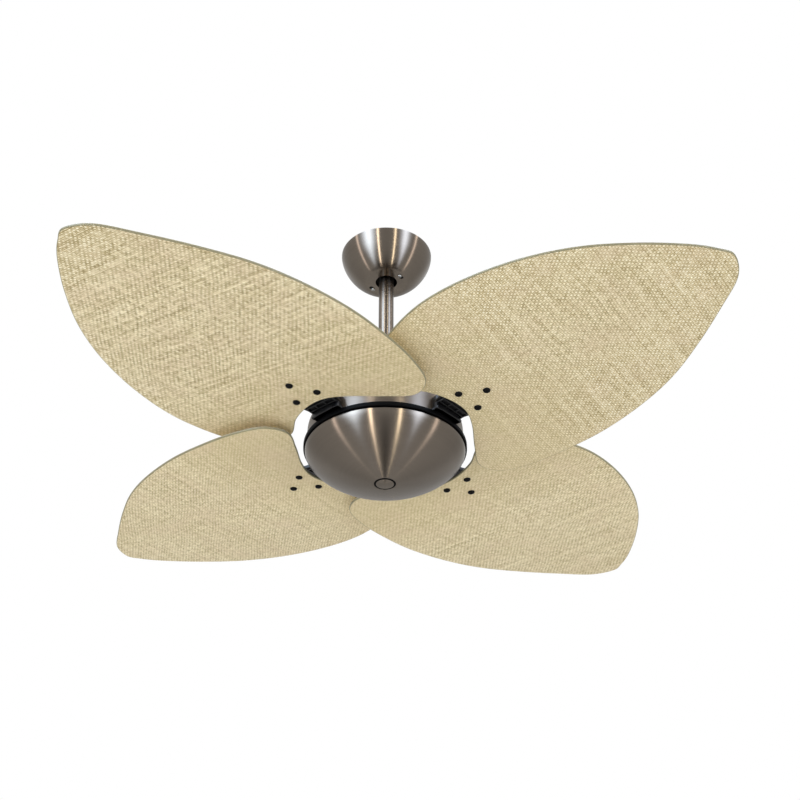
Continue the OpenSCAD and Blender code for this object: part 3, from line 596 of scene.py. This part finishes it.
blade = {"count": 4, "first": 226.5, "raise": 0.008, "rise": 3.4, "pitch": 3.0, "thickness": 0.004,
         "root": 0.153, "edge": 0.0013, "bandFrom": 0.97,
         "screws": [(0.175, 0.0225), (0.175, -0.0225), (0.212, 0.0)],
         # along and across from the middle of the root, joined by a smooth curve
         "outline": [(0.492, 0.015), (0.472, 0.053), (0.422, 0.089), (0.354, 0.132), (0.283, 0.169),
                     (0.209, 0.192), (0.127, 0.204), (0.05, 0.202), (-0.011, 0.193), (-0.058, 0.174),
                     (-0.073, 0.137), (-0.047, 0.095), (-0.015, 0.052), (0.002, 0.017), (0.002, -0.019),
                     (-0.011, -0.058), (-0.036, -0.096), (-0.028, -0.14), (0.001, -0.175), (0.044, -0.196),
                     (0.115, -0.21), (0.194, -0.204), (0.275, -0.181), (0.347, -0.144), (0.409, -0.095),
                     (0.459, -0.044), (0.483, -0.01)]}


def hubTurn(i):
    return Matrix.Translation((0, 0, hub)) @ Matrix.Rotation(math.radians(blade["first"] + 90 * i), 4, "Z")


def bladePlane(i):
    return (hubTurn(i) @ Matrix.Translation((0, 0, blade["raise"]))
            @ Matrix.Rotation(-math.radians(blade["rise"]), 4, "Y")
            @ Matrix.Rotation(-math.radians(blade["pitch"]), 4, "X"))


def smoothLoop(points, steps):
    # closed curve through the points
    count = len(points)
    result = []
    for i in range(count):
        a, b, c, d = [Vector(points[(i + k) % count]) for k in (-1, 0, 1, 2)]
        for s in range(steps):
            t = s / steps
            result.append(0.5 * (2 * b + (c - a) * t + (2 * a - 5 * b + 4 * c - d) * t * t
                                 + (3 * b - a - 3 * c + d) * t * t * t))
    return result


def bladePiece(i):
    half = blade["thickness"] / 2
    outline = [(p.x + blade["root"], p.y) for p in smoothLoop(blade["outline"], steps=8)]
    shape = bmesh.new()
    prism(shape, outline, -half, half, Matrix())
    soften(shape, blade["edge"], segments=3, sharper=60)
    shape.normal_update()
    # weave above and below, a plain band round the edge
    for face in shape.faces:
        face.material_index = 0 if abs(face.normal.z) > blade["bandFrom"] else 1
    place = shape.verts.layers.float_vector.new("bladePlace")
    for vertex in shape.verts:
        vertex[place] = (vertex.co.x, vertex.co.y, patternStep * i)
    bmesh.ops.transform(shape, matrix=bladePlane(i), verts=shape.verts)
    piece = finished(f"leafBlade{i + 1}", shape, "rotor", "woven_blade", [f"blade_{i + 1}"], [bladeEdge],
                     smooth=40)
    piece.visible_glossy = False


arm = {"root": [(0.096, -0.026), (0.137, -0.028), (0.137, 0.028), (0.096, 0.026)],
       "rootLevels": (0.008, 0.012), "blockRadii": (0.138, 0.126), "blockTop": 0.032, "halfAngle": 12,
       "plateRadius": 0.1308, "plateThickness": 0.005,
       "plate": [(0.160, -0.0355), (0.170, -0.0365), (0.180, -0.033), (0.219, -0.0095), (0.224, -0.005),
                 (0.225, 0.0), (0.224, 0.005), (0.219, 0.0095), (0.180, 0.033), (0.170, 0.0365),
                 (0.160, 0.0355)],
       # ribs on the plate, all from one distance: offset to the side and length
       "ribStart": 0.130, "ribs": [(-0.023, 0.041), (0.0, 0.074), (0.023, 0.041)],
       "ribWidth": 0.003, "ribHeight": 0.009, "ribLevel": 0.0065,
       # rims on the underside: distance and length, and offsets of the short links between them
       "rims": [(0.1345, 0.050), (0.1405, 0.054), (0.1495, 0.058)], "rimWidth": 0.0022, "rimHeight": 0.003,
       "rimLevel": -0.0008, "linkMiddle": 0.142, "linkLength": 0.018, "links": [-0.027, -0.009, 0.009, 0.027],
       "bossRadii": (0.0075, 0.0068), "bossHeight": 0.009, "edge": 0.0006}


def bladeArm(i):
    top = blade["thickness"] / 2
    low, high = arm["rootLevels"]
    shape = bmesh.new()

    def onBlade(x, y, z):
        return bladePlane(i) @ Matrix.Translation((x, y, z))

    # root on the motor's flange, and the raised block beside the cover
    prism(shape, arm["root"], low, high, hubTurn(i))
    arc = [math.radians(a) for a in range(-arm["halfAngle"], arm["halfAngle"] + 1, 3)]
    far, near = arm["blockRadii"]
    block = [(far * math.cos(a), far * math.sin(a)) for a in arc]
    block += [(near * math.cos(a), near * math.sin(a)) for a in reversed(arc)]
    prism(shape, block, low, arm["blockTop"], hubTurn(i))
    # plate on the blade
    inner = [(arm["plateRadius"] * math.cos(a), arm["plateRadius"] * math.sin(a)) for a in reversed(arc)]
    prism(shape, inner + arm["plate"], top, top + arm["plateThickness"], bladePlane(i))
    for side, reach in arm["ribs"]:
        bar(shape, (reach, arm["ribWidth"], arm["ribHeight"]),
            onBlade(arm["ribStart"] + reach / 2, side, top + arm["ribLevel"]))
    # rims and links on the underside, between the ring and the blade's root
    thin, deep, level = arm["rimWidth"], arm["rimHeight"], top + arm["rimLevel"]
    for x, length in arm["rims"]:
        bar(shape, (thin, length, deep), onBlade(x, 0, level))
    for y in arm["links"]:
        bar(shape, (arm["linkLength"], thin, deep), onBlade(arm["linkMiddle"], y, level))
    wide, narrow = arm["bossRadii"]
    for x, y in blade["screws"]:
        bmesh.ops.create_cone(shape, cap_ends=True, segments=40, radius1=wide, radius2=narrow,
                              depth=arm["bossHeight"], matrix=onBlade(x, y, top + arm["bossHeight"] / 2))
    bmesh.ops.recalc_face_normals(shape, faces=shape.faces)
    soften(shape, arm["edge"], sharper=50)
    finished(f"bladeArm{i + 1}", shape, "rotor", "arm_plastic", [f"blade_arm_{i + 1}"])


# parts of a screw head's radius, and of its height
headForm = {"dome": [(1.0, 0.0), (1.0, 0.35), (0.93, 0.62), (0.76, 0.84)], "flat": 0.52, "crossReach": 0.42,
            "crossHalf": 0.12, "crossDepth": 0.5}
bladeScrew = {"width": 0.0116, "height": 0.003, "shank": 0.005, "length": 0.016}
canopyScrew = {"width": 0.0064, "height": 0.0024, "shank": 0.004, "length": 0.007}


def hoop(verts, level, radius):
    # the edges of one level circle
    def onCircle(vertex, slack=1e-6):
        return abs(vertex.co.z - level) < slack and abs(vertex.co.xy.length - radius) < slack

    edges = [e for v in verts for e in v.link_edges if all(onCircle(w) for w in e.verts)]
    return list(dict.fromkeys(edges))


def drawnDown(shape, edges, depth):
    # a wall down from a loop of edges, closed by a flat end
    drawn = bmesh.ops.extrude_edge_only(shape, edges=edges)["geom"]
    end = [v for v in drawn if isinstance(v, bmesh.types.BMVert)]
    bmesh.ops.translate(shape, verts=end, vec=(0, 0, -depth))
    bmesh.ops.contextual_create(shape, geom=[e for e in drawn if isinstance(e, bmesh.types.BMEdge)
                                             and all(v in end for v in e.verts)])


def crossHead(shape, matrix, screw):
    # domed head with a cross recess and its plain shank, pointing down from Z = 0
    r, height = screw["width"] / 2, screw["height"]
    flat = headForm["flat"] * r
    start = set(shape.verts)
    dome = [(x * r, z * height) for x, z in headForm["dome"]]
    profile = [(screw["shank"] / 2, 0)] + dome + [(flat, height)]
    corners = [shape.verts.new((x, 0, z)) for x, z in profile]
    rims = [shape.edges.new(pair) for pair in zip(corners, corners[1:])]
    bmesh.ops.spin(shape, geom=corners + rims, cent=(0, 0, 0), axis=(0, 0, 1), angle=2 * math.pi, steps=24,
                   use_merge=True)
    reach, slot = headForm["crossReach"] * r, headForm["crossHalf"] * r
    cross = []
    for quarterTurn in range(4):
        spun = Matrix.Rotation(quarterTurn * math.pi / 2, 2)
        for x, y in ((reach, -slot), (reach, slot), (slot, slot)):
            cross.append(spun @ Vector((x, y)))
    loop = [shape.verts.new((p.x, p.y, height)) for p in cross]
    recess = [shape.edges.new(pair) for pair in zip(loop, loop[1:] + loop[:1])]
    fresh = [v for v in shape.verts if v not in start]
    bmesh.ops.bridge_loops(shape, edges=hoop(fresh, height, flat) + recess)
    drawnDown(shape, recess, headForm["crossDepth"] * height)
    drawnDown(shape, hoop(fresh, 0, screw["shank"] / 2), screw["length"])
    bmesh.ops.transform(shape, matrix=matrix, verts=[v for v in shape.verts if v not in start])


upsideDown = Matrix.Rotation(math.pi, 4, "X")


def bladeScrews():
    shape = bmesh.new()
    for i in range(blade["count"]):
        for x, y in blade["screws"]:
            place = bladePlane(i) @ Matrix.Translation((x, y, -blade["thickness"] / 2))
            crossHead(shape, place @ upsideDown, bladeScrew)
    finished("bladeScrewSet", shape, "rotor", "black_screw", ["blade_screws"])


def canopyScrews():
    shape = bmesh.new()
    for turn in (keyhole["turn"], keyhole["turn"] + 180):
        place = (Matrix.Rotation(math.radians(turn), 4, "Z")
                 @ Matrix.Translation((keyhole["radius"], 0, -canopySizes["depth"])))
        crossHead(shape, place @ upsideDown, canopyScrew)
    finished("canopyScrewPair", shape, "canopy_cup", "screw_steel", ["canopy_screws"])


for i in range(blade["count"]):
    bladePiece(i)
    bladeArm(i)
bladeScrews()
canopyScrews()
print("blades, arms and screws made")

room = {"floorRadius": 6.0, "floorLevel": -2.45, "floorColour": (0.8, 0.8, 0.79), "floorRoughness": 0.9,
        "view": math.radians(33.0), "wall": (0.84, 0.84, 0.83),
        # a dark stripe in the middle of the metal, deeper low down, and dimmer walls far to the sides
        "darkWidth": 6.5, "darkBelow": 0.5, "darkDepth": (0.12, 1.5),
        "sideFrom": 45.0, "sideSpan": 30.0, "sideDepth": 0.24,
        # degrees to the right of the middle, width, brightness, colour, how it fades and narrows downwards
        "windows": [(-10.9, 0.85, 15.0, (1.0, 0.88, 0.72), (3.6, 0.06), 0.0),
                    (10.9, 0.85, 12.0, (1.0, 0.89, 0.68), (3.6, 0.06), 0.0),
                    (-23.4, 7.4, 9.8, (0.62, 0.78, 1.0), (2.0, -0.32), 0.75),
                    (24.2, 5.0, 7.6, (0.64, 0.77, 1.0), (2.0, -0.26), 0.75),
                    (-39.5, 1.3, 3.6, (1.0, 0.88, 0.82), (3.0, -0.05), 0.0),
                    (39.5, 1.3, 4.0, (1.0, 0.88, 0.8), (3.0, -0.05), 0.0),
                    (-88.0, 12.0, 0.35, (0.95, 0.98, 1.0), (1.0, 0.1), 0.0),
                    (88.0, 12.0, 0.35, (0.95, 0.98, 1.0), (1.0, 0.1), 0.0)]}


def studioFloor():
    shape = bmesh.new()
    bmesh.ops.create_circle(shape, cap_ends=True, segments=64, radius=room["floorRadius"],
                            matrix=Matrix.Translation((0, 0, room["floorLevel"])))
    mesh = bpy.data.meshes.new("studioFloor")
    shape.to_mesh(mesh)
    shape.free()
    floor = bpy.data.objects.new("studioFloor", mesh)
    bpy.context.scene.collection.objects.link(floor)
    paper = Finish("floorPaper", {"Roughness": room["floorRoughness"], "Base Color": room["floorColour"]})
    mesh.materials.append(paper.material)
    floor.visible_glossy = False


def studioWorld():
    world = bpy.data.worlds.new("studioWorld")
    bpy.context.scene.world = world
    world.use_nodes = True
    sky = NodeWork(world.node_tree)
    background = world.node_tree.nodes["Background"]
    path = sky.node("LightPath").socket.node
    glossy = Signal(sky, path.outputs["Is Glossy Ray"])
    # tall bright windows, seen only in the metal: half is midway between the mirrored ray and the camera
    half = sky.node("VectorMath", {"operation": "ADD"},
                    {0: sky.node("TexCoord"), 1: (0.0, -math.cos(room["view"]), -math.sin(room["view"]))})
    x, y, z = sky.parts(sky.node("VectorMath", {"operation": "NORMALIZE"}, {0: half}))
    turn = x.maths("ARCTAN2", y * -1.0) * (180 / math.pi)
    rise = (1.0 + z).maths("MAXIMUM", 0.0)

    def bell(place, width):
        offset = (turn - place) / width
        return (offset * offset * -1.0).maths("EXPONENT")

    least, more = room["darkDepth"]
    depth = (room["darkBelow"] - rise).maths("MAXIMUM", 0.0) * more + least
    sides = ((turn.maths("ABSOLUTE") - room["sideFrom"]).maths("MAXIMUM", 0.0)
             / room["sideSpan"]).maths("MINIMUM", 1.0)
    middle = (1.0 - bell(0.0, room["darkWidth"]) * depth) * (1.0 - sides * room["sideDepth"])
    channels = [middle * level for level in room["wall"]]
    for place, width, gain, colour, (steep, start), narrowing in room["windows"]:
        hold = (rise * steep + start).held(0.0, 1.0)
        shine = bell(place, (hold * narrowing + (1.0 - narrowing)) * width) * hold * gain
        channels = [channel + shine * part for channel, part in zip(channels, colour)]
    walls = sky.joined(*channels)
    sky.feed(background.inputs["Color"], sky.mixed(glossy, (1.0, 1.0, 1.0), walls))


# degrees from the camera's side and above the hub, width and height in metres, watts, colour
lamps = {"distance": 2.6,
         "boxes": {"leftBox": (-55.0, -24.0, 0.7, 1.1, 7.0, (1.0, 0.98, 0.95)),
                   "rightBox": (62.0, -18.0, 0.6, 1.1, 5.0, (0.96, 0.98, 1.0))}}


def softbox(name, azimuth, elevation, width, height, power, colour):
    # lamp that faces the hub
    lamp = bpy.data.lights.new(name, "AREA")
    lamp.shape = "RECTANGLE"
    lamp.size, lamp.size_y = width, height
    lamp.energy = power
    lamp.color = colour
    holder = bpy.data.objects.new(name, lamp)
    bpy.context.scene.collection.objects.link(holder)
    side, tilt = math.radians(azimuth - 90), math.radians(elevation)
    away = Vector((math.cos(side) * math.cos(tilt), math.sin(side) * math.cos(tilt), math.sin(tilt)))
    holder.location = Vector((0, 0, hub)) + away * lamps["distance"]
    holder.rotation_euler = away.to_track_quat("Z", "Y").to_euler()
    holder.visible_camera = False
    holder.visible_glossy = False


# fitted to the photograph: focal length in pixels of a picture 800 wide, and degrees the camera is turned
photoView = {"focal": 1442.2, "picture": 800, "sensor": 36.0, "farEnd": 50,
             "place": (0, -1.9356, -1.6463), "upward": 34.72, "sideways": -0.7}


def photoCamera():
    lens = bpy.data.cameras.new("photoCamera")
    lens.sensor_width = photoView["sensor"]
    lens.lens = photoView["sensor"] * photoView["focal"] / photoView["picture"]
    lens.clip_end = photoView["farEnd"]
    camera = bpy.data.objects.new("photoCamera", lens)
    bpy.context.scene.collection.objects.link(camera)
    camera.location = photoView["place"]
    camera.rotation_euler = (math.radians(90 + photoView["upward"]), 0, math.radians(photoView["sideways"]))
    bpy.context.scene.camera = camera


studioFloor()
studioWorld()
for name, box in lamps["boxes"].items():
    softbox(name, *box)
photoCamera()
bpy.context.scene.view_settings.view_transform = "Standard"
print("studio made")
